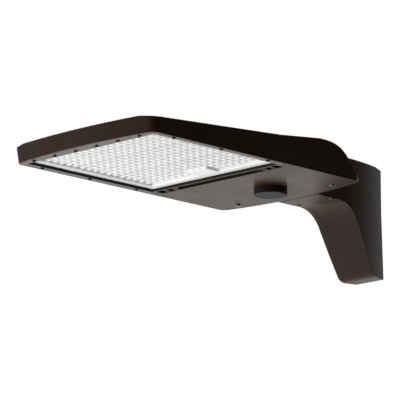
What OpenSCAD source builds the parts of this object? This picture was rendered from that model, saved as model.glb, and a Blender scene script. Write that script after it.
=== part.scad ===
// Shoebox area light on a straight arm for a square pole.
// Origin: centre of the two pole bolts on the flat back face of the arm.
// -Y runs out from the pole to the nose, +Z is up, units are millimetres.
// The curved walls are exact: cones, tori cut from rotate_extrude, and leaning planes.

/* [Head] */
// Width of the flat border on each side of the optic opening
side_border = 15; // [14:0.5:19]
// From the optic opening back to the hinge slot
optic_land = 5.5; // [5:0.5:8]
// How far the nose bows out ahead of its corners
nose_bow = 14; // [10:0.5:18]
// How far the rear edge bows out behind its corners
rear_bow = 19; // [15:0.5:23]
// Height of the head above its underside at the nose
nose_h = 31.5; // [30:0.5:34]
// Drop of the top's shoulders at the two nose corners
shoulder_drop = 4.5; // [3:0.5:6]
// Width of each shoulder at the nose
shoulder_w = 30; // [26:1:36]
// Rise of the shoulders for each millimetre run back from the nose
top_slope = 0.069; // [0.06:0.001:0.075]
// Greatest height of the head, over the driver compartment
hump_h = 59.5; // [58:0.5:64]
// Radius of the roll from the top down to the rear slope
roll_r = 80; // [74:1:88]
// Slope of the rear wall above the underside, in degrees
rear_slope = 44.5; // [42:0.5:47]
// Outward lean of the side and nose walls, in degrees
wall_lean = 8; // [5:0.5:9]
// Plan radius of the two nose corners
nose_corner_r = 16; // [14:1:22]
// Plan radius of the two rear corners
rear_corner_r = 17; // [12:1:22]
// Wall thickness of the castings
wall = 3.5; // [3:0.25:4]

/* [Optic] */
// Clear width of the optic opening
lens_w = 316; // [308:1:322]
// Clear length of the optic opening
lens_l = 315; // [306:1:320]
// From the nose corners back to the optic opening
lens_from_nose = 14.5; // [14:0.5:18]
// Thickness of the frame that holds the optic up
frame_t = 5; // [4:0.25:5.5]
// Thickness of the clear optic
lens_t = 3; // [2.5:0.25:3.5]
// Overlap of the optic behind its frame
lens_lap = 2.5; // [2:0.25:2.75]

/* [Door] */
// From the rear corner forward to the front edge of the door
door_side = 185; // [178:1:190]
// Thickness of the driver door
door_t = 3.5; // [3:0.25:4]
// Width of the slot that holds the hinges, ahead of the door
slot_w = 15.5; // [14.5:0.5:17]
// Radius of the hinge pins
pin_r = 2.5; // [2:0.1:2.8]
// Distance of each hinge knuckle from the centreline
hinge_x = 112; // [108:1:115]
// Distance of each door screw from the centreline
screw_x = 119; // [110:1:126]
// Radius of the round sensor
sensor_r = 30.7; // [26:0.1:33]
// How far the sensor hangs below the door
sensor_h = 13; // [12.5:0.5:16]
// Sensor centre, to the side of the centreline
sensor_x = 18; // [10:0.5:22]
// Sensor centre, back from the front edge of the door
sensor_y = 110.5; // [104:0.5:114]

/* [Arm] */
// Width of the arm at the head
arm_w = 98; // [90:1:106]
// Pole face to the rear edge of the head on the centreline
arm_reach = 200; // [190:1:215]
// Height of the arm above the underside of the head
arm_top = 83.5; // [80:0.5:88]
// Depth of the arm below the underside of the head
arm_drop = 130.5; // [125:0.5:138]
// Pole face forward to where the underside of the arm turns down
bend_back = 106; // [100:1:110]
// Steepness of the front of the arm, in degrees
arm_sweep = 62; // [60:0.5:64]
// Plan radius of the narrowing flanks
flank_r = 440; // [380:5:500]
// Draft of the flanks below the head: outward run for each millimetre down
arm_draft = 0.025; // [0.015:0.005:0.035]
// Wall thickness of the arm casting
arm_wall = 5; // [4.5:0.25:5.5]
// Thickness of the wall that bears on the pole
back_t = 8; // [7:0.5:9]
// Distance between the two pole bolts
bolt_pitch = 100; // [90:1:110]
// Radius of the pole bolt holes
bolt_hole_r = 5.5; // [5:0.25:6]
// Radius of the wire ways
wire_r = 11; // [9:0.5:12]

/* [Hidden] */
$fn = 96;

// Heights: u is the underside of the head, measured from the pole bolts' centre.
u = (arm_drop - arm_top) / 2;
// The head's width across its underside, and its straight sides from nose corner to rear corner.
head_w = lens_w + 2 * side_border;
side_len = lens_from_nose + lens_l + optic_land + slot_w + door_side;
// Plan positions along Y.
y_joint = -arm_reach;                    // rear face of the boss under the arm
y_rc = y_joint - 0.6 - rear_bow;         // rear corners
y_nc = y_rc - side_len;                  // nose corners
y_df = y_rc - door_side;                 // front edge of the door
hw = head_w / 2;
tl = tan(wall_lean);
// Nose arc and rear arc, both in plan.
nose_R = (hw * hw + nose_bow * nose_bow) / (2 * nose_bow);
nose_cy = y_nc - nose_bow + nose_R;
rear_R = (hw * hw + rear_bow * rear_bow) / (2 * rear_bow);
rear_cy = y_rc + rear_bow - rear_R;
// The rear roll: a tube of roll_r whose top stands just under the hump, over a plain slope.
roll_z = hump_h - 0.8 - roll_r;
roll_in = roll_r - 0.3;                  // the slope crosses the tube by this little
roll_run = (roll_z * cos(rear_slope) + roll_in) / sin(rear_slope);
// Optic heights above the underside.
z_lens = frame_t;                        // lower face of the optic
z_ledge = frame_t + lens_t + 1.5;        // housing ledge above the gasket
z_web = z_ledge + 5;                     // LED board seat
web_t = 4;
led_pitch = 21.6;
ly0 = y_nc + lens_from_nose;             // optic opening, front and rear edges
ly1 = ly0 + lens_l;
lx = lens_w / 2;
led_y0 = ly0 + (lens_l - 11 * led_pitch) / 2 - 12;
gap = 0.3;
rim = wall + 0.5;                        // housing rim left outside the frame
slot_z = 12;                             // depth of the hinge slot
slot_end = 21.5;                         // from the side of the head to the end of the slot
rib = 2.5;                               // rear bar of the optic frame at the underside
hinge_y = y_df - 9;
hinge_z = 5.5;
hinge_R = pin_r + 2.5;
door_gap = 0.7;
fit_run = 0.05;
fit_free = 0.4;
gasket_t = 1.5;
sx = sensor_x;
sy = y_df + sensor_y;
scy = y_df + 168;                        // door screws
bar_lean = (optic_land - 0.25 - rib) / frame_t;
screw_r = 2.5;
boss_x = arm_w / 2;
flange_t = 8;
arm_y0 = y_joint + gasket_t;
head_bolt_x = boss_x - 18;
head_bolt_z = [18, arm_top - 19.5];
bolt_r = 4;
neck_x = head_bolt_x - 10;
neck_z = [14, arm_top - 15.5];
bay_y = ly1 - 13;                        // front of the bay over the hinge slot
bay_z = z_web + 3;
side_nose_h = nose_h - shoulder_drop;    // height of the shoulders at the nose corners
side_hump_h = side_nose_h + top_slope * (y_df - 37 - y_nc);
mid_slope = (side_hump_h + 0.5 - nose_h) / (y_df - 37 - y_nc);
clamp_y = -bend_back - 46;               // clamp screws in the floor of the neck

module up() translate([0, 0, u]) children();

// A slab of the head's underside between two lines across it and two heights.
module slab(ya, yb, za, zb, x = 400)
    translate([-x, ya, za]) cube([2 * x, yb - ya, zb - za]);

// Block outside one plan corner, less a leaning cone that is tangent to both walls.
module corner_cut(fx, fy, r, ax, ay, bx, by)
    difference() {
        translate([0, 0, -1]) linear_extrude(120)
            polygon([[fx, fy], [fx + 3 * ax, fy + 3 * ay], [fx + 3 * (ax + bx), fy + 3 * (ay + by)],
                [fx + 3 * bx, fy + 3 * by]]);
        translate([fx, fy, -1]) cylinder(h = 121, r1 = r - tl, r2 = r + 120 * tl);
    }

// Everything inward of one leaning side wall.
module head_side(i) translate([hw - i, 0, 0]) rotate([0, wall_lean, 0])
    translate([-500, -1000, -100]) cube([500, 1100, 260]);

// Everything below one shoulder, which slopes down to the side and dies out at the hump.
module head_shoulder(i) translate([hw, 0, 0]) rotate([0, atan(shoulder_drop / shoulder_w), 0])
    rotate([90, 0, 90]) translate([0, 0, -500]) linear_extrude(700)
        polygon([[y_nc - 60, -150], [y_joint + 30, -150], [y_joint + 30, hump_h - i],
            [y_df + 68, hump_h + 0.7 - i], [y_df - 37, side_hump_h - i],
            [y_nc - 60, side_nose_h - top_slope * 60 - i]]);

// The outer form of the head, every wall moved in by i. Its underside stays at height 0.
module head_env(i = 0) {
    r1 = nose_corner_r;
    r2 = rear_corner_r;
    f1x = hw - r1;
    f1y = nose_cy - sqrt((nose_R - r1) * (nose_R - r1) - f1x * f1x);
    f2x = hw - r2;
    f2y = rear_cy + sqrt((rear_R - r2) * (rear_R - r2) - f2x * f2x);
    foot = roll_in - i;
    d1 = r1 / (nose_R - r1);
    d2 = r2 / (rear_R - r2);
    difference() {
        intersection() {
            // top seen from the side, then its two shoulders
            rotate([90, 0, 90]) translate([0, 0, -300]) linear_extrude(600)
                polygon([[y_nc - 40, 0], [y_joint + 20, 0], [y_joint + 20, hump_h - 2 - i],
                    [y_df + 90, hump_h - 0.4 - i], [y_df + 68, hump_h - i],
                    [y_df - 37, side_hump_h + 0.5 - i], [y_nc - 40, nose_h - mid_slope * 40 - i]]);
            head_shoulder(i);
            mirror([1, 0, 0]) head_shoulder(i);
            // leaning sides
            head_side(i);
            mirror([1, 0, 0]) head_side(i);
            // bowed, leaning nose
            translate([0, nose_cy, -1]) cylinder(h = 121, r1 = nose_R - i - tl, r2 = nose_R - i + 120 * tl);
            // bowed rear: the slope, then the roll
            translate([0, rear_cy, 0]) rotate_extrude() union() {
                translate([0, -1]) square([rear_R - roll_run, 121]);
                intersection() {
                    translate([rear_R - roll_run, roll_z]) circle(r = roll_r - i);
                    translate([rear_R - roll_run - 1, -1]) square([roll_r + 2, 121]);
                }
                polygon([[rear_R - roll_run - 1, -1],
                    [rear_R - i / sin(rear_slope) + 1 / tan(rear_slope), -1],
                    [rear_R - roll_run + foot * sin(rear_slope), roll_z + foot * cos(rear_slope)],
                    [rear_R - roll_run - 1, roll_z + foot * cos(rear_slope)]]);
            }
        }
        for (s = [0, 1]) mirror([s, 0, 0]) {
            corner_cut(f1x, f1y, r1 - i, r1, 0, d1 * f1x, -d1 * (nose_cy - f1y));
            corner_cut(f2x, f2y, r2 - i, r2, 0, d2 * f2x, d2 * (f2y - rear_cy));
        }
    }
}

// Where the small optic screws go: six at the nose and three down each side.
function optic_screw_xy() = concat(
    [for (x = [-130, -78, -26, 26, 78, 130]) [x * head_w / 340, ly0 - lens_lap - 5.6]],
    [for (s = [-1, 1], y = [41, 154, 268]) [s * (lx + (hw - rim - lx) / 2 + 1.6), ly0 + y * lens_l / 300]]);

// Pads cast under the compartment roof for the driver and the surge protector.
function driver_pad_xy() = [[-96, y_df + 44], [96, y_df + 44]];
lead_x = lx - 12;
drv_z = 17;
drv_h = 30;
drv_top = drv_z + drv_h;

// The way for the supply leads and a socket wrench, between the head and the arm.
module neck_way(y, len) translate([-neck_x, y, neck_z[0]]) cube([2 * neck_x, len, neck_z[1] - neck_z[0]]);

module head_housing() color([0.2, 0.18, 0.16]) up() difference() {
    union() {
        difference() {
            union() {
                head_env();
                // boss that carries the arm
                intersection() {
                    rotate([90, 0, 90]) translate([0, 0, -boss_x]) linear_extrude(2 * boss_x)
                        polygon([[y_joint - 110, door_t + door_gap], [y_joint, door_t + door_gap],
                            [y_joint, arm_top], [y_joint - 110, hump_h - 6]]);
                    translate([-boss_x, y_joint - 100, 0]) cube([2 * boss_x, 100, 120]);
                }
            }
            // driver compartment, open below
            intersection() { head_env(wall); slab(y_df + 2 * wall, 20, -1, 120); }
            intersection() { head_env(wall); slab(bay_y, y_df + 8 * wall, bay_z, 120); }
            // hollow of the boss
            rotate([90, 0, 90]) translate([0, 0, -boss_x + wall + 1]) linear_extrude(2 * (boss_x - wall - 1))
                polygon([[y_joint - 90, -1], [y_joint - flange_t, -1],
                    [y_joint - flange_t, arm_top - wall - 3], [y_joint - 90, hump_h - 5 - wall]]);
        }
        // bosses that the two door screws reach
        intersection() {
            union() for (s = [-1, 1]) translate([s * screw_x, scy, door_t + door_gap + 2.5])
                cylinder(h = 60, r = 6.5);
            head_env(wall - 1);
        }
        intersection() {
            union() for (p = driver_pad_xy()) translate([p[0], p[1], drv_top]) cylinder(h = 30, r = 6);
            head_env(wall - 1);
        }
        // pads of the surge protector and the terminal block
        intersection() {
            union() {
                translate([62, y_df + 96, 44]) cube([44, 30, 20]);
                translate([-104, y_df + 96, 40]) cube([44, 24, 20]);
            }
            head_env(wall - 1);
        }
    }
    // room for the door and its front edge
    slab(y_df - 0.01, 30, -1, door_t + door_gap);
    // hinge slot across the underside, closed at both ends
    difference() {
        translate([-hw + slot_end, y_df - slot_w, -1]) cube([2 * (hw - slot_end), slot_w + 0.1, slot_z + 1]);
        // a rounded lug inward of each hinge knuckle, and a full bar outward of it
        for (s = [0, 1]) mirror([s, 0, 0]) {
            intersection() {
                translate([hinge_x - 10.5, 0, 0]) union() {
                    translate([0, hinge_y, hinge_z]) rotate([0, 90, 0]) cylinder(h = 5, r = hinge_R);
                    translate([0, hinge_y - hinge_R + 0.3, hinge_z]) cube([5, 2 * hinge_R - 0.6, slot_z]);
                }
                slab(y_df - slot_w - 1, y_df + 1, 0.4, slot_z + 2);
            }
            translate([hinge_x + 17, y_df - slot_w - 1, 0.4]) cube([6.5, slot_w + 2, slot_z + 2]);
        }
    }
    // bores for the hinge pins
    for (s = [0, 1]) mirror([s, 0, 0]) translate([hinge_x - 10.51, hinge_y, hinge_z])
        rotate([0, 90, 0]) cylinder(h = 34.02, r = pin_r);
    // seat of the optic frame, then of the optic, then the LED chamber
    intersection() {
        head_env(rim);
        slab(y_nc - 40, y_df - slot_w + 0.05, -1, frame_t + 0.01);
    }
    translate([-lx - lens_lap - gap, ly0 - lens_lap - gap, -1])
        cube([lens_w + 2 * (lens_lap + gap), lens_l + 2 * (lens_lap + gap), z_ledge + 1]);
    translate([-lx + 3, ly0 + 3, -1]) cube([lens_w - 6, lens_l - 6, z_web + 1]);
    // holes for the optic screws
    for (p = optic_screw_xy()) translate([p[0], p[1], -1]) cylinder(h = z_web - 2, r = 1.5);
    // heat sink: slots sunk in the top between nineteen fins
    intersection() {
        head_env(wall + 3);
        for (k = [-9 : 9]) translate([k * 16.5 - 5.5, y_nc + 6, z_web + web_t])
            cube([11, bay_y - wall - y_nc - 6, 90]);
    }
    // the slots run out of the top
    intersection() {
        union() for (k = [-9 : 9]) translate([k * 16.5 - 5.5, y_nc + 14, z_web + web_t + 3])
            cube([11, bay_y - wall - y_nc - 14, 90]);
        translate([-hw + 9, y_nc + 6, 0]) cube([2 * hw - 18, side_len, 120]);
    }
    // holes of the door screws, driver screws and arm bolts
    for (s = [-1, 1]) translate([s * screw_x, scy, 0]) cylinder(h = 16.5, r = screw_r + fit_free);
    for (p = driver_pad_xy()) translate([p[0], p[1], drv_top - 0.01]) cylinder(h = 7, r = 2);
    for (s = [-1, 1], z = head_bolt_z) translate([s * head_bolt_x, y_joint - flange_t - 1, z])
        rotate([-90, 0, 0]) cylinder(h = flange_t + 2, r = bolt_r);
    neck_way(y_joint - flange_t - 1, flange_t + 2);
    // lead way from the bay down to the LED chamber
    translate([lead_x, ly1 - 4.5, z_web - 1]) cylinder(h = 20, r = 2.2);
}

module optic_frame() color([0.24, 0.21, 0.19]) up() difference() {
    intersection() { head_env(rim + gap); slab(y_nc - 40, y_df - slot_w - 0.25, 0, frame_t - 0.05); }
    translate([-lx, ly0, -1]) cube([lens_w, lens_l, 20]);
    // its rear bar leans, so that the slot is wider at the underside
    rotate([90, 0, 90]) translate([0, 0, -hw + slot_end]) linear_extrude(2 * (hw - slot_end))
        polygon([[ly1 + rib - bar_lean, -1], [ly1 + 20, -1], [ly1 + 20, 6], [ly1 + rib + 6 * bar_lean, 6]]);
    for (p = optic_screw_xy()) translate([p[0], p[1], -1]) cylinder(h = 20, r = 1.5);
}

module optic_panel() color([0.9, 0.92, 0.95, 0.6]) up() translate([-lx - lens_lap, ly0 - lens_lap, z_lens])
    cube([lens_w + 2 * lens_lap, lens_l + 2 * lens_lap, lens_t]);

module optic_gasket() color([0.1, 0.1, 0.1]) up() difference() {
    translate([-lx - lens_lap, ly0 - lens_lap, z_lens + lens_t])
        cube([lens_w + 2 * lens_lap, lens_l + 2 * lens_lap, gasket_t]);
    translate([-lx + 3, ly0 + 3, 0]) cube([lens_w - 6, lens_l - 6, 30]);
}

module optic_screws() color([0.3, 0.29, 0.28]) up() for (p = optic_screw_xy()) translate([p[0], p[1], 0])
    difference() {
        union() {
            translate([0, 0, -1.6]) cylinder(h = 1.6, r1 = 3, r2 = 3.5);
            translate([0, 0, -0.1]) cylinder(h = z_web - 4, r = 1.5);
        }
        translate([-0.4, -1.8, -2.2]) cube([0.8, 3.6, 1.4]);
        translate([-1.8, -0.4, -2.2]) cube([3.6, 0.8, 1.4]);
    }

module led_board(s) up() translate([s < 0 ? -lx + 5 : 1, ly0 + 6, z_web - 1.6])
    cube([lx - 6, lens_l - 12, 1.6]);
module led_board_near() color([0.92, 0.92, 0.9]) led_board(1);
module led_board_far() color([0.92, 0.92, 0.9]) led_board(-1);

// One package above each dome of the optic: eighteen across and twelve along.
module led_packages() color([0.95, 0.85, 0.35]) up() for (i = [0 : 17], j = [0 : 11])
    translate([(i - 8.5) * (lens_w - 44) / 17 - 2.5, led_y0 + j * led_pitch - 2.5, z_web - 1.6 - 1.2])
        cube([5, 5, 1.2]);

module led_driver() color([0.75, 0.75, 0.73]) up() difference() {
    union() {
        translate([-86, y_df + 14, drv_z]) cube([172, 60, drv_h]);
        translate([-104, y_df + 30, drv_top - 2]) cube([208, 28, 2]);
    }
    for (p = driver_pad_xy()) translate([p[0], p[1], 0]) cylinder(h = 80, r = 2);
}

module driver_screws() color([0.7, 0.7, 0.7]) up() for (p = driver_pad_xy())
    translate([p[0], p[1], 0]) {
        translate([0, 0, drv_top - 4.5]) cylinder(h = 2.5, r = 3.6);
        translate([0, 0, drv_top - 2.1]) cylinder(h = 8, r = 2);
    }

module surge_protector() color([0.12, 0.12, 0.13]) up()
    translate([64, y_df + 97, 22]) cube([40, 28, 22]);

module terminal_block() color([0.86, 0.84, 0.78]) up() difference() {
    translate([-102, y_df + 98, 24]) cube([40, 20, 16]);
    for (k = [0 : 2]) translate([-102 + 7 + k * 13, y_df + 108, 20]) cylinder(h = 10, r = 2.4);
}

// A straight round bar, run on by e at each end.
module bar(a, b, r, e) {
    d = (b - a) / norm(b - a);
    translate(a - e * d) rotate([0, acos(d[2]), atan2(d[1], d[0])]) cylinder(h = norm(b - a) + 2 * e, r = r);
}

// A wire along a list of points. Every second run is a little thinner and ends inside its neighbours.
module wire(pts, r) for (k = [0 : len(pts) - 2])
    bar(pts[k], pts[k + 1], k % 2 == 0 ? r : 0.88 * r, k % 2 == 0 ? 0.6 * r : 0);

module led_leads() color([0.7, 0.1, 0.08]) up() wire([[86.8, y_df + 40, drv_z + 6],
    [112, y_df + 40, drv_z + 6], [lead_x, y_df + 18, bay_z + 5], [lead_x, ly1 - 4.5, bay_z + 5],
    [lead_x, ly1 - 4.5, z_web - 1.6]], 1.2);

module supply_leads() color([0.08, 0.08, 0.08]) up() wire([[-82, y_df + 122.7, 32],
    [-60, y_df + 150, 26], [0, y_joint - 20, 36], [0, y_joint + 20, 36], [0, -40, -u + 6],
    [0, -back_t - 6, -u]], 4);

module hinge_pins() color([0.75, 0.76, 0.78]) up() for (s = [0, 1]) mirror([s, 0, 0])
    translate([hinge_x - 10.5, hinge_y, hinge_z]) rotate([0, 90, 0]) cylinder(h = 34, r = pin_r - 0.01);

module driver_door() color([0.2, 0.18, 0.16]) up() difference() {
    union() {
        // its front edge leans back, so that it clears the side walls as the door opens
        intersection() {
            head_env();
            rotate([90, 0, 90]) translate([0, 0, -400]) linear_extrude(800)
                polygon([[y_df + 0.8, 0], [20, 0], [20, door_t], [y_df + 1.9, door_t]]);
        }
        // inner stiffening rib
        difference() {
            intersection() { head_env(rim + 6); slab(y_df + 14, 20, door_t - 0.01, door_t + 5); }
            intersection() { head_env(rim + 9); slab(y_df + 17, 20, 0, 30); }
            for (s = [-1, 1]) translate([s * screw_x, scy, 0]) cylinder(h = 30, r = 11);
            translate([sx, sy, 0]) cylinder(h = 30, r = sensor_r);
        }
        // hinge knuckles
        for (s = [-1, 1]) translate([s * hinge_x - 5, 0, 0]) {
            translate([0, hinge_y, hinge_z]) rotate([0, 90, 0]) cylinder(h = 10, r = hinge_R);
            translate([0, hinge_y, hinge_z - hinge_R + 0.3])
                cube([10, y_df - hinge_y + 3, door_t - hinge_z + hinge_R - 0.3]);
        }
    }
    for (s = [-1, 1]) translate([s * hinge_x - 6, hinge_y, hinge_z]) rotate([0, 90, 0])
        cylinder(h = 12, r = pin_r + fit_run);
    for (s = [-1, 1]) translate([s * screw_x, scy, -1]) cylinder(h = 20, r = screw_r + fit_run);
    translate([sx, sy, -1]) cylinder(h = 20, r = 11);
}

module door_gasket() color([0.08, 0.08, 0.08]) up() difference() {
    intersection() { head_env(0.8); slab(y_df + 0.8, 20, door_t, door_t + door_gap - 0.05); }
    intersection() { head_env(rim + 1); slab(y_df + 2 * wall - 0.4, 20, 0, 30); }
}

module sensor_base() color([0.07, 0.07, 0.07]) up() translate([sx, sy, 0]) difference() {
    union() {
        translate([0, 0, -5.5]) cylinder(h = 4.7, r = sensor_r);
        translate([0, 0, -9]) cylinder(h = 4, r = sensor_r - 6);
        translate([0, 0, -5]) cylinder(h = 5 + door_t + 9, r = 10.9);
    }
    translate([0, 0, -9.1]) cylinder(h = 40, r = 7);
}

module sensor_gasket() color([0.12, 0.12, 0.12]) up() translate([sx, sy, -0.8]) difference() {
    cylinder(h = 0.8, r = sensor_r - 1);
    translate([0, 0, -1]) cylinder(h = 3, r = 10.9);
}

module sensor_nut() color([0.6, 0.6, 0.6]) up() translate([sx, sy, door_t]) difference() {
    cylinder(h = 6, r = 16);
    translate([0, 0, -1]) cylinder(h = 9, r = 10.9);
    for (k = [0 : 5]) rotate([0, 0, 60 * k]) translate([14, -10, -1]) cube([10, 20, 10]);
}

module sensor_cap() color([0.09, 0.09, 0.09]) up() translate([sx, sy, 0]) difference() {
    union() {
        translate([0, 0, -sensor_h + 1]) cylinder(h = sensor_h - 6.8, r = sensor_r);
        translate([0, 0, -sensor_h]) cylinder(h = 1.01, r1 = sensor_r - 1, r2 = sensor_r);
        translate([0, 0, -9.2]) cylinder(h = 13, r = 7 - fit_run);
    }
    // room for the neck of the base
    translate([0, 0, -9.2]) difference() {
        cylinder(h = 20, r = sensor_r - 6 + fit_free);
        translate([0, 0, -1]) cylinder(h = 30, r = 7 - fit_run);
    }
    // coin slot across the rim, so that the turn can be seen
    for (s = [-1, 1]) translate([s * (sensor_r - 1.6) - 1.6, -2, -sensor_h - 1]) cube([3.2, 4, 2.2]);
}

module door_screw() {
    difference() {
        translate([0, 0, -3]) cylinder(h = 3, r1 = 4.6, r2 = 5.4);
        translate([-0.7, -4, -3.1]) cube([1.4, 8, 1.6]);
    }
    translate([0, 0, -0.1]) cylinder(h = 14, r = screw_r);
    // keeper ring that holds the screw in the door
    translate([0, 0, door_t + 0.1]) cylinder(h = 1.4, r = screw_r + 1.6);
}
module door_screw_near() color([0.78, 0.78, 0.77]) up() translate([screw_x, scy, -0.02]) door_screw();
module door_screw_far() color([0.78, 0.78, 0.77]) up() translate([-screw_x, scy, -0.02]) door_screw();

// The arm between two flat sides, its walls moved in by i. Heights are from the head's underside.
module arm_block(i, y0, y1, top) {
    th = arm_sweep;
    n = [sin(th), cos(th)];
    Rf = 60;
    r = 20;
    F = [-bend_back - Rf * tan(th / 2), -Rf];
    yb = -bend_back + arm_drop / tan(th);
    G = [yb + r * tan(th / 2), -arm_drop + r];
    difference() {
        rotate([90, 0, 90]) translate([0, 0, -boss_x + i]) linear_extrude(2 * (boss_x - i))
            polygon([[y0, top], [y0, i], [F[0], i], F + (Rf + i) * n, [yb + i * tan(th / 2), -arm_drop + i],
                [y1, -arm_drop + i], [y1, top - 3], [y1 - 22, top]]);
        // hollow bend under the neck
        translate([-100, F[0], F[1]]) rotate([0, 90, 0]) cylinder(h = 200, r = Rf + i + 0.05);
        // rounded foot
        difference() {
            rotate([90, 0, 90]) translate([0, 0, -100]) linear_extrude(200)
                polygon([G, G - 3 * r * n, G - 3 * r * n - [0, 3 * r], G - [0, 3 * r]]);
            translate([-101, G[0], G[1]]) rotate([0, 90, 0]) cylinder(h = 202, r = r - i + 0.05);
        }
    }
}

// Everything inward of one flank.
module arm_flank(i) {
    translate([boss_x - sqrt(flank_r * flank_r - 144), -126, 0]) rotate_extrude()
        polygon([[0, -200], [flank_r - i + 200 * arm_draft, -200], [flank_r - i, 0], [flank_r - i, 200],
            [0, 200]]);
    translate([-200, -400, -200]) cube([205 + boss_x, 400 - 126, 400]);
}

// The arm's solid form: the side view between flanks that curve in toward the pole.
module arm_env(i, y0, y1, top) intersection() {
    arm_block(i, y0, y1, top);
    arm_flank(i);
    mirror([1, 0, 0]) arm_flank(i);
}

module arm_body() color([0.2, 0.18, 0.16]) up() difference() {
    arm_env(0, arm_y0, 0, arm_top);
    // hollow
    arm_env(arm_wall, arm_y0 + flange_t, -back_t, arm_top - arm_wall);
    // pole bolt holes and the wire way, both through the back
    for (s = [-1, 1]) translate([0, -back_t - 1, -u + s * bolt_pitch / 2]) rotate([-90, 0, 0])
        cylinder(h = back_t + 2, r = bolt_hole_r);
    translate([0, -back_t - 1, -u]) rotate([-90, 0, 0]) cylinder(h = back_t + 2, r = wire_r);
    // arm bolts and the wire way into the head
    for (s = [-1, 1], z = head_bolt_z) translate([s * head_bolt_x, arm_y0 - 1, z]) rotate([-90, 0, 0])
        cylinder(h = flange_t + 2, r = bolt_r);
    neck_way(arm_y0 - 1, flange_t + 2);
    // screw holes in the floor of the neck
    for (s = [-1, 1]) translate([s * (boss_x - 8), clamp_y, -1]) cylinder(h = 12, r = 2.5);
}

module arm_gasket() color([0.07, 0.07, 0.07]) up() difference() {
    translate([-boss_x + 1, y_joint, door_t + door_gap + 1]) cube([2 * boss_x - 2, gasket_t,
        arm_top - door_t - door_gap - 2.5]);
    for (s = [-1, 1], z = head_bolt_z) translate([s * head_bolt_x, y_joint - 1, z]) rotate([-90, 0, 0])
        cylinder(h = 4, r = bolt_r);
    neck_way(y_joint - 1, gasket_t + 2);
}

module arm_bolts() color([0.7, 0.7, 0.7]) up() for (s = [-1, 1], z = head_bolt_z)
    translate([s * head_bolt_x, 0, z]) {
        translate([0, arm_y0 + flange_t + 1.5, 0]) rotate([-90, 0, 0]) difference() {
            cylinder(h = 6, r = 7);
            translate([0, 0, 2.5]) cylinder(h = 8, r = 3.4);
        }
        translate([0, y_joint - flange_t - 2, 0]) rotate([-90, 0, 0])
            cylinder(h = 2 * flange_t + gasket_t + 4, r = bolt_r - fit_run);
    }

module arm_washers() color([0.75, 0.75, 0.76]) up() for (s = [-1, 1], z = head_bolt_z)
    translate([s * head_bolt_x, arm_y0 + flange_t, z]) rotate([-90, 0, 0]) difference() {
        cylinder(h = 1.5, r = 8.5);
        translate([0, 0, -1]) cylinder(h = 4, r = bolt_r);
    }

module clamp_screws() color([0.85, 0.85, 0.84]) up() for (s = [-1, 1])
    translate([s * (boss_x - 8), clamp_y, 0]) {
        difference() {
            translate([0, 0, -1.6]) cylinder(h = 1.6, r1 = 3.6, r2 = 4.2);
            translate([-0.6, -3, -2]) cube([1.2, 6, 1.4]);
        }
        translate([0, 0, -0.1]) cylinder(h = 7, r = 2.5 - fit_run);
    }

head_housing();
optic_frame();
optic_panel();
optic_gasket();
optic_screws();
led_board_near();
led_board_far();
led_packages();
led_driver();
driver_screws();
surge_protector();
terminal_block();
led_leads();
supply_leads();
hinge_pins();
driver_door();
door_gasket();
sensor_base();
sensor_gasket();
sensor_nut();
sensor_cap();
door_screw_near();
door_screw_far();
arm_body();
arm_gasket();
arm_bolts();
arm_washers();
clamp_screws();
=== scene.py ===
"""Shoebox area light on a swept arm, seen from below its nose."""

import bpy
import numpy as np
from mathutils import Matrix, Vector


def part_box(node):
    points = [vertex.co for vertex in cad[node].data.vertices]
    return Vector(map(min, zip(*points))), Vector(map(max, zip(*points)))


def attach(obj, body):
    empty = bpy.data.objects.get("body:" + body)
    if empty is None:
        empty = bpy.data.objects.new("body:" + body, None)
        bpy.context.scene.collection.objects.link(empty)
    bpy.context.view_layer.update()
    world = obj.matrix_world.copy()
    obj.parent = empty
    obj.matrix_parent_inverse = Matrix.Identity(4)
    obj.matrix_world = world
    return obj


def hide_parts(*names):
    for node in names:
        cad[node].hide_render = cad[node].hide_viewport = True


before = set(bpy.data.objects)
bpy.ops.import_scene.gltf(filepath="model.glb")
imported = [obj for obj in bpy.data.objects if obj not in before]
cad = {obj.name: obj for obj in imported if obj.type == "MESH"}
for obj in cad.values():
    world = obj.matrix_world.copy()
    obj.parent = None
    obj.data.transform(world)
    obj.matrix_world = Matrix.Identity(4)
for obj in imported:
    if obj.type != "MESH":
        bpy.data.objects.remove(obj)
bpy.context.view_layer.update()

# ---------------------------------------------------------------------------
# Head casting, optic frame, driver door and arm.
# Die-cast aluminium, blasted and then sprayed with a dark bronze polyester powder that is baked on.
# The coat is semi-gloss and a little pebbled, and it shows the pale floor at a low angle.


def linear(code):
    """An sRGB hex code as the linear red, green, blue and alpha that a shader socket takes."""
    c = np.array([int(code[i : i + 2], 16) for i in (1, 3, 5)]) / 255
    low, high = c / 12.92, ((c + 0.055) / 1.055) ** 2.4
    return (*np.where(c <= 0.04045, low, high).tolist(), 1.0)


def add(tree, kind, inputs=(), **settings):
    """Adds one node to a tree, sets its properties, and fills its sockets with values or links."""
    made = tree.nodes.new(kind)
    for key, value in settings.items():
        setattr(made, key, value)
    for key, value in dict(inputs).items():
        if isinstance(value, bpy.types.NodeSocket):
            tree.links.new(value, made.inputs[key])
        else:
            made.inputs[key].default_value = value
    return made


def new_finish(name):
    """An empty material, its node tree, and the Object coordinates in metres."""
    finish = bpy.data.materials.new(name)
    finish.use_nodes = True
    tree = finish.node_tree
    tree.nodes.clear()
    place = add(tree, "ShaderNodeTexCoord").outputs["Object"]
    return finish, tree, place


def close(tree, shader):
    """Joins a shader to the material's output."""
    add(tree, "ShaderNodeOutputMaterial", {"Surface": shader.outputs[0]})


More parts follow.
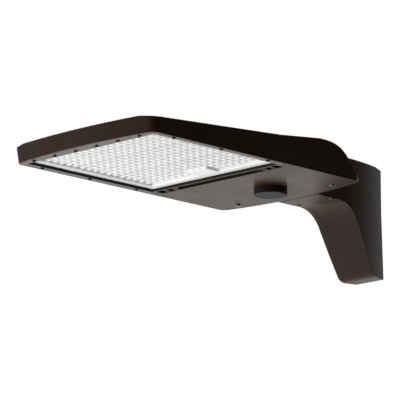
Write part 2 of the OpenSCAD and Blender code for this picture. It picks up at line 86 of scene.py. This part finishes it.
def two_tone(tree, factor, low, high, start=0.0, end=1.0):
    """A colour that runs from low to high as factor goes from start to end."""
    ramp = add(tree, "ShaderNodeValToRGB", {"Fac": factor})
    ramp.color_ramp.elements[0].position = start
    ramp.color_ramp.elements[0].color = linear(low)
    ramp.color_ramp.elements[1].position = end
    ramp.color_ramp.elements[1].color = linear(high)
    return ramp.outputs["Color"]


def powder_coat(name, low, high, wax=0.0):
    """Baked polyester powder: slow patches of tone, specks, and the pebble that dulls its gloss.

    Specks and pebble are several times coarser than real, so that they show. The Bevel node rounds
    the look of the casting's edges, as draft and powder do. wax is how much clear gloss lies on top.
    """
    patches, specks, pebbles = 14.0, 900.0, 480.0  # per metre: about 70 mm, 1 mm and 2 mm across
    roughness, pebble_depth, edge_radius = 0.34, 0.0004, 0.0016
    finish, tree, place = new_finish(name)
    drift = add(tree, "ShaderNodeTexNoise", {"Vector": place, "Scale": patches, "Detail": 3.0, "Roughness": 0.6})
    speck = add(tree, "ShaderNodeTexNoise", {"Vector": place, "Scale": specks, "Detail": 2.0, "Roughness": 0.7})
    tone = add(tree, "ShaderNodeMath", {0: drift.outputs["Fac"], 1: 0.6}, operation="MULTIPLY")
    fill = {0: speck.outputs["Fac"], 1: 0.4, 2: tone.outputs[0]}
    both = add(tree, "ShaderNodeMath", fill, operation="MULTIPLY_ADD")
    peel = add(tree, "ShaderNodeTexNoise", {"Vector": place, "Scale": pebbles, "Detail": 2.0, "Roughness": 0.5})
    edge = add(tree, "ShaderNodeBevel", {"Radius": edge_radius}, samples=6)
    relief = {"Height": peel.outputs["Fac"], "Strength": 0.12, "Distance": pebble_depth}
    bump = add(tree, "ShaderNodeBump", {**relief, "Normal": edge.outputs["Normal"]})
    spread = {"From Min": 0.3, "From Max": 0.7, "To Min": roughness - 0.04, "To Max": roughness + 0.05}
    matt = add(tree, "ShaderNodeMapRange", {"Value": drift.outputs["Fac"], **spread})
    shader = add(
        tree,
        "ShaderNodeBsdfPrincipled",
        {
            "Base Color": two_tone(tree, both.outputs[0], low, high, 0.3, 0.7),
            "Roughness": matt.outputs["Result"],
            "Normal": bump.outputs["Normal"],
            "IOR": 1.5,
            "Coat Weight": wax,
            "Coat Roughness": 0.25,
        },
    )
    close(tree, shader)
    return finish


def coat_nodes(finish, *names):
    """Gives CAD nodes a finish in place of their plain one."""
    for name in names:
        part = cad[name]
        part.data.materials.clear()
        part.data.materials.append(finish)


bronze_low, bronze_high = "#2D1909", "#351F0C"
coat_nodes(powder_coat("bronze_powder_coat", bronze_low, bronze_high), "head_housing", "driver_door", "arm_body")
coat_nodes(powder_coat("bronze_powder_coat_smooth", bronze_low, bronze_high, wax=0.6), "optic_frame")

# ---------------------------------------------------------------------------
# Optic: one plate of acrylic, injection moulded, with rows of lens domes in a recessed field.
# A flat border holds it behind the frame, on a silicone seal. A tab at the rear stands level with the border.
# Over the white boards it reads as a pale, glinting field. Its glints and the shade in its hollows are painted into
# its colour.


def grid_faces(rows, columns):
    """Quads of a grid of rows x columns points, as an array of four indices each."""
    i = np.arange(rows * columns).reshape(rows, columns)
    return np.stack([i[:-1, :-1], i[:-1, 1:], i[1:, 1:], i[1:, :-1]], axis=-1).reshape(-1, 4)


def to_object(name, points, faces, finish, smooth=True):
    """A mesh object at the origin from points and faces, with one finish."""
    mesh = bpy.data.meshes.new(name)
    mesh.from_pydata(points.reshape(-1, 3).tolist(), [], faces.tolist())
    mesh.update()
    mesh.polygons.foreach_set("use_smooth", np.full(len(mesh.polygons), smooth))
    mesh.materials.append(finish)
    piece = bpy.data.objects.new(name, mesh)
    bpy.context.scene.collection.objects.link(piece)
    return piece


def moulded_acrylic():
    """Polished acrylic whose tone carries painted light: painted highlights make it whitest on the domes, it is
    greyer between them, and painted shade makes it darker on the field's wall and darkest in the grooves.

    A faint cloudiness, about 17 mm across, keeps the rows from looking printed.
    """
    clouds = 60.0  # per metre
    finish, tree, place = new_finish("moulded_acrylic_optic")
    # The tone attribute holds painted highlights and painted shade.
    painted_light_tone = add(tree, "ShaderNodeAttribute", attribute_name="tone")
    cloud = add(tree, "ShaderNodeTexNoise", {"Vector": place, "Scale": clouds, "Detail": 2.0})
    drift = add(tree, "ShaderNodeMath", {0: cloud.outputs["Fac"], 1: 0.12, 2: -0.06}, operation="MULTIPLY_ADD")
    both = add(tree, "ShaderNodeMath", {0: painted_light_tone.outputs["Fac"], 1: drift.outputs[0]}, operation="ADD")
    tones = two_tone(tree, both.outputs[0], "#808080", "#F2F2F1")
    close(tree, add(tree, "ShaderNodeBsdfPrincipled", {"Base Color": tones, "Roughness": 0.16, "IOR": 1.49}))
    return finish


low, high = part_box("optic_panel")
lens_step = 0.0015  # grid spacing, an eighth of a dome
columns = int((high[0] - low[0]) / lens_step) + 1
rows = int((high[1] - low[1]) / lens_step) + 1
x = np.linspace(low[0], high[0], columns)[None, :] + np.zeros((rows, 1))
y = np.linspace(low[1], high[1], rows)[:, None] + np.zeros((1, columns))
# The field is sunk where a point lies inside the border and off the tab. Its walls slope over 1.5 mm.
border_x, border_front, border_rear = 0.142, -0.7246, -0.4416
tab_x, tab_half_width, tab_front = 0.003, 0.025, -0.474
wall_run = 0.0015
inward = np.minimum(border_x - abs(x), np.minimum(y - border_front, border_rear - y))
off_tab = np.maximum(abs(x - tab_x) - tab_half_width, tab_front - y)
recess = np.clip(np.minimum(inward, off_tab) / wall_run, 0, 1)
# Each dome is half an ellipsoid round its own centre, in 18 columns, nine to a side, and 16 rows.
half_columns, dome_rows = 9, 16
pitch_x, pitch_y, first_y = 0.016, 0.01677, -0.7075
dome_radius, dome_height = 0.0060, 0.0023
dx = x - (np.clip(np.round(x / pitch_x - 0.5), -half_columns, half_columns - 1) + 0.5) * pitch_x
row = np.clip(np.round((y - first_y) / pitch_y), 0, dome_rows - 1)
dy = y - first_y - row * pitch_y
bulb = np.sqrt(np.clip(1 - (dx / dome_radius) ** 2 - (dy / dome_radius) ** 2, 0, 1))
# Grooves lie midway between the rows, one to a dome, and also before the first row and behind the last.
# Rows come in threes, and behind the first row of each three the grooves are half as long.
groove_half_width, groove_depth = 0.0018, 0.0005
behind = np.round((y - first_y) / pitch_y - 0.5)
groove_reach = np.where(np.mod(behind, 3) == 0, 0.0030, 0.0060)
groove = (abs(dx) < groove_reach) & (abs(y - first_y - (behind + 0.5) * pitch_y) < groove_half_width)
# Underside of the field, then of the whole plate, and the same surface again one shell's thickness above it.
field_depth, shell = 0.0049, 0.0012
field = low[2] + field_depth - dome_height * bulb + groove_depth * groove
front = low[2] + recess * (field - low[2])
back = front + shell
count = rows * columns
index = np.arange(count).reshape(rows, columns)
loop = np.concatenate([index[0, :-1], index[:-1, -1], index[-1, :0:-1], index[:0:-1, 0]])
ahead = np.roll(loop, -1)
walls = np.stack([loop, ahead, ahead + count, loop + count], axis=-1)
faces = np.concatenate([grid_faces(rows, columns)[:, ::-1], grid_faces(rows, columns) + count, walls])
sides = np.stack([np.stack([x, y, front], axis=-1), np.stack([x, y, back], axis=-1)])
lens = to_object("optic_lens_plate", sides, faces, moulded_acrylic())
# Tone from 0, dark, to 1, white: border, the wall's painted shade, ground, then the painted highlight that a dome
# adds by its row of three, less the groove's painted shade.
border_tone, painted_wall_shade, ground_tone, painted_groove_shade = 0.97, 0.25, 0.76, 0.36
# Painted highlights on the dome tops, of a strength that repeats every three rows.
dome_painted_highlight = np.array([0.22, 0.06, 0.14])[np.mod(row, 3).astype(int)]
tone = np.where(recess < 1, border_tone - painted_wall_shade * (recess > 0), ground_tone + dome_painted_highlight * bulb)
tone = tone - painted_groove_shade * (groove & (recess == 1))
shade = lens.data.attributes.new("tone", "FLOAT", "POINT")
shade.data.foreach_set("value", np.concatenate([tone.ravel(), tone.ravel()]).astype(np.float32))
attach(lens, "fixture")
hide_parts("optic_panel")

# ---------------------------------------------------------------------------
# LED boards and packages, driver, protector, sensor and terminals, with their leads.
# Bought-in parts, screwed, snapped or clipped to the casting and the door.
# Their patterns are coarser than real, so that they show in a close view.


def plain(name, low, high, grains, roughness, metallic=0.0, bump=0.0):
    """A simple finish: two near tones in a pattern of so many grains per metre, with a fine bump."""
    finish, tree, place = new_finish(name)
    grain = add(tree, "ShaderNodeTexNoise", {"Vector": place, "Scale": grains, "Detail": 3.0})
    fill = {
        "Base Color": two_tone(tree, grain.outputs["Fac"], low, high, 0.35, 0.65),
        "Roughness": roughness,
        "Metallic": metallic,
    }
    if bump:
        relief = {"Height": grain.outputs["Fac"], "Strength": bump, "Distance": 0.0003}
        fill["Normal"] = add(tree, "ShaderNodeBump", relief).outputs["Normal"]
    close(tree, add(tree, "ShaderNodeBsdfPrincipled", fill))
    return finish


# White solder mask on glass-filled board: smooth, with a soft gloss.
coat_nodes(plain("solder_mask_white", "#E4E4E0", "#EFEFEC", 300, 0.35), "led_board_near", "led_board_far")
# Phosphor in silicone: a dull yellow.
coat_nodes(plain("phosphor_yellow", "#E8C64A", "#F2DA6E", 900, 0.6), "led_packages")
# Bare drawn aluminium: a soft metal shine.
coat_nodes(plain("drawn_aluminium_can", "#B8B8B4", "#C8C8C4", 400, 0.35, 1.0, 0.05), "led_driver")
# Glass-filled nylon from an eroded mould: nearly black, satin, with a fine grain.
moulded = plain("moulded_black_nylon", "#0D0805", "#17100A", 700, 0.56, 0.0, 0.15)
coat_nodes(moulded, "surge_protector", "sensor_base", "sensor_cap")
# Cream nylon, moulded: a little waxy.
coat_nodes(plain("terminal_nylon", "#D8D0BC", "#E2DBC8", 500, 0.5, 0.0, 0.1), "terminal_block")
# Extruded PVC on the leads and rubber on the cable: the first has a soft gloss, the second is dull.
coat_nodes(plain("wire_jacket_red", "#9A1B14", "#AE241B", 600, 0.4), "led_leads")
coat_nodes(plain("cable_jacket_black", "#101010", "#1A1A1A", 600, 0.55, 0.0, 0.1), "supply_leads")

# ---------------------------------------------------------------------------
# Seals: moulded black silicone, dull, pressed between the castings.
# The frame's opening is also lined with a thin black strip of the same silicone, which keeps its inner walls dark.
silicone = plain("silicone_seal", "#050404", "#0B0A09", 500, 0.8, 0.0, 0.2)
coat_nodes(silicone, "optic_gasket", "door_gasket", "sensor_gasket", "arm_gasket")
frame_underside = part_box("optic_frame")[0][2]
opening_x, opening_front, opening_rear = 0.15799, -0.74059, -0.42561
lip_foot, lip_top, lip_thick = 0.0004, 0.0049, 0.0011
# The lip's section, as inward offset and height over the frame's underside, is swept round four mitred corners.
section = np.array([[0.0, lip_foot], [0.0, lip_top], [lip_thick, lip_top], [lip_thick, lip_foot]])
mitres = np.array([[-1, -1], [1, -1], [1, 1], [-1, 1]])[:, None, :]
centre = np.array([0, (opening_front + opening_rear) / 2])
reach = np.array([opening_x, (opening_rear - opening_front) / 2])
plan = centre + mitres * (reach - section[None, :, :1])
ring = np.concatenate([plan, np.broadcast_to(frame_underside + section[None, :, 1:], (4, 4, 1))], axis=-1)
at = np.arange(16).reshape(4, 4)
ahead, beside = np.roll(at, -1, axis=0), np.roll(at, -1, axis=1)
quads = np.stack([at, ahead, np.roll(ahead, -1, axis=1), beside], axis=-1).reshape(-1, 4)
lip = to_object("optic_opening_black_lining", ring, quads, silicone, False)
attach(lip, "fixture")

# ---------------------------------------------------------------------------
# Screws, pins, bolts, nut and washers, turned or formed from stainless steel.
# The optic's screws are blackened, so they show as dark dots in the lip. The others are bare and bright.
coat_nodes(plain("blackened_steel", "#1A1715", "#26211E", 900, 0.5, 0.6, 0.1), "optic_screws")
stainless = plain("stainless_steel", "#B9B7B2", "#C9C7C3", 700, 0.3, 1.0, 0.05)
coat_nodes(stainless, "driver_screws", "hinge_pins", "sensor_nut", "door_screw_near", "door_screw_far")
coat_nodes(stainless, "arm_bolts", "arm_washers", "clamp_screws")

# ---------------------------------------------------------------------------
# Studio: pale floor, white surround, and soft light that comes mostly up from the floor at the left of the nose.
# The object keeps a dark right side, and its underside and nose take the light.


def studio_white(name, lit):
    """Pale floor paint. Its left front glows, as if lamps stood over it, and sends light up to the object.

    A camera doesn't see the glow: part of the white is the floor's own and part is lit paint, which keeps
    the object's shadow. Gloss sees a calmer floor, bright at the left and dark at the right. From behind
    the floor is clear.
    """
    lift, spill = 2.9, 0.10  # light sent up by the left front, and by all of it
    gloss_left, gloss_front = 0.62, -0.33  # what gloss sees at the left, and how much less at its front
    own_white = 0.62
    finish, tree, place = new_finish(name)
    path = add(tree, "ShaderNodeLightPath")
    spot = add(tree, "ShaderNodeSeparateXYZ", {0: place})
    smooth = {"interpolation_type": "SMOOTHSTEP"}
    left = add(tree, "ShaderNodeMapRange", {"Value": spot.outputs["X"], "From Min": 1.2, "From Max": -1.2}, **smooth)
    front = add(tree, "ShaderNodeMapRange", {"Value": spot.outputs["Y"], "From Min": 1.5, "From Max": -1.0}, **smooth)
    both = add(tree, "ShaderNodeMath", {0: left.outputs[0], 1: front.outputs[0]}, operation="MULTIPLY")
    glow = add(tree, "ShaderNodeMath", {0: both.outputs[0], 1: lift, 2: spill}, operation="MULTIPLY_ADD")
    less = add(tree, "ShaderNodeMath", {0: both.outputs[0], 1: gloss_front}, operation="MULTIPLY")
    fill = {0: left.outputs[0], 1: gloss_left, 2: less.outputs[0]}
    sheen = add(tree, "ShaderNodeMath", fill, operation="MULTIPLY_ADD")
    given = add(tree, "ShaderNodeEmission", {"Strength": glow.outputs[0]})
    shine = add(tree, "ShaderNodeEmission", {"Strength": sheen.outputs[0]})
    matt = add(tree, "ShaderNodeBsdfDiffuse", {"Color": linear(lit)})
    white = add(tree, "ShaderNodeEmission", {"Strength": own_white})
    seen = add(tree, "ShaderNodeAddShader", {0: matt.outputs[0], 1: white.outputs[0]})
    clear = add(tree, "ShaderNodeBsdfTransparent")
    side = add(tree, "ShaderNodeNewGeometry")
    by_gloss = {0: path.outputs["Is Glossy Ray"], 1: given.outputs[0], 2: shine.outputs[0]}
    unseen = add(tree, "ShaderNodeMixShader", by_gloss)
    by_eye = {0: path.outputs["Is Camera Ray"], 1: unseen.outputs[0], 2: seen.outputs[0]}
    upper = add(tree, "ShaderNodeMixShader", by_eye)
    by_side = {0: side.outputs["Backfacing"], 1: upper.outputs[0], 2: clear.outputs[0]}
    close(tree, add(tree, "ShaderNodeMixShader", by_side))
    return finish


floor_half, floor_z = 20.0, -1.75
corner_signs = np.array([[-1, -1], [1, -1], [1, 1], [-1, 1]])
corners = np.concatenate([corner_signs * floor_half, np.full((4, 1), floor_z)], axis=1)
floor = to_object("studio_floor", corners, np.array([[0, 1, 2, 3]]), studio_white("pale_floor", "#E6E6E4"), False)

world = bpy.data.worlds.new("studio_surround")
bpy.context.scene.world = world
world.use_nodes = True
sky = world.node_tree
sky.nodes.clear()
path = add(sky, "ShaderNodeLightPath")
way = add(sky, "ShaderNodeTexCoord")


def glow_from(direction, strength, base, power=2.0):
    """Light from one side of the surround: strength x a power of the cosine, added to base."""
    aim = {0: way.outputs["Generated"], 1: direction}
    toward = add(sky, "ShaderNodeVectorMath", aim, operation="DOT_PRODUCT")
    facing = add(sky, "ShaderNodeMath", {0: toward.outputs["Value"], 1: 0.0}, operation="MAXIMUM")
    wide = add(sky, "ShaderNodeMath", {0: facing.outputs[0], 1: power}, operation="POWER")
    fill = {0: wide.outputs[0], 1: strength, 2: base}
    return add(sky, "ShaderNodeMath", fill, operation="MULTIPLY_ADD").outputs[0]


# a broad glow at the left rear, a little at the nose, and a narrow one behind the arm
surround = glow_from((-0.7, 0.7, 0), 1.35, 0.0)
surround = glow_from((0, -1, 0), 0.13, surround)
surround = glow_from((0.02, 1, 0), 0.5, surround, 20.0)
# diffuse light also comes evenly from all round
even = {0: path.outputs["Is Diffuse Ray"], 1: 0.30, 2: surround}
light = add(sky, "ShaderNodeMath", even, operation="MULTIPLY_ADD")
dim = add(sky, "ShaderNodeBackground", {"Strength": light.outputs[0]})
bright = add(sky, "ShaderNodeBackground", {"Color": (1, 1, 1, 1), "Strength": 1.0})
by_eye = {0: path.outputs["Is Camera Ray"], 1: dim.outputs[0], 2: bright.outputs[0]}
mix = add(sky, "ShaderNodeMixShader", by_eye)
add(sky, "ShaderNodeOutputWorld", {"Surface": mix.outputs[0]})


def softbox(name, place, aim, size, power):
    """A square lamp at place that faces aim: its axis is the line between the two, and its side lies level."""
    lamp = bpy.data.lights.new(name, "AREA")
    lamp.shape = "SQUARE"
    lamp.size = size
    lamp.energy = power
    box = bpy.data.objects.new(name, lamp)
    away = np.array(place, float) - np.array(aim, float)
    away /= np.linalg.norm(away)
    side = np.cross((0, 0, 1), away)
    side /= np.linalg.norm(side)
    turn = np.column_stack([side, np.cross(away, side), away])
    box.matrix_world = Matrix([[*turn[i], place[i]] for i in range(3)] + [[0, 0, 0, 1]])
    bpy.context.scene.collection.objects.link(box)


# a weak lamp to the left of the nose, and a strong one over the head
middle = (0, -0.4, 0)
softbox("key_left", (-3.4, -3.6, 1.8), middle, 2.4, 12)
softbox("top_soft", (-1.0, 0.2, 3.6), middle, 3.0, 130)

# ---------------------------------------------------------------------------
# Camera: a long lens, 13 degrees below the head and 44 degrees round from its nose.
# Its axes and place come from the vanishing points of the optic's edges and the door's front edge.
focal_px, picture_px, sensor_mm = 3549.54, 400, 36
lens_eye = bpy.data.cameras.new("eye")
lens_eye.sensor_width = sensor_mm
lens_eye.lens = focal_px / picture_px * sensor_mm
lens_eye.clip_end = 100
eye = bpy.data.objects.new("eye", lens_eye)
eye.matrix_world = Matrix(
    [
        [0.719133, 0.155028, 0.677359, 4.336994],
        [0.694843, -0.158303, -0.70152, -4.954019],
        [-0.001567, 0.9752, -0.221606, -1.441277],
        [0, 0, 0, 1],
    ]
)
bpy.context.scene.collection.objects.link(eye)
bpy.context.scene.camera = eye
bpy.context.scene.view_settings.view_transform = "Standard"
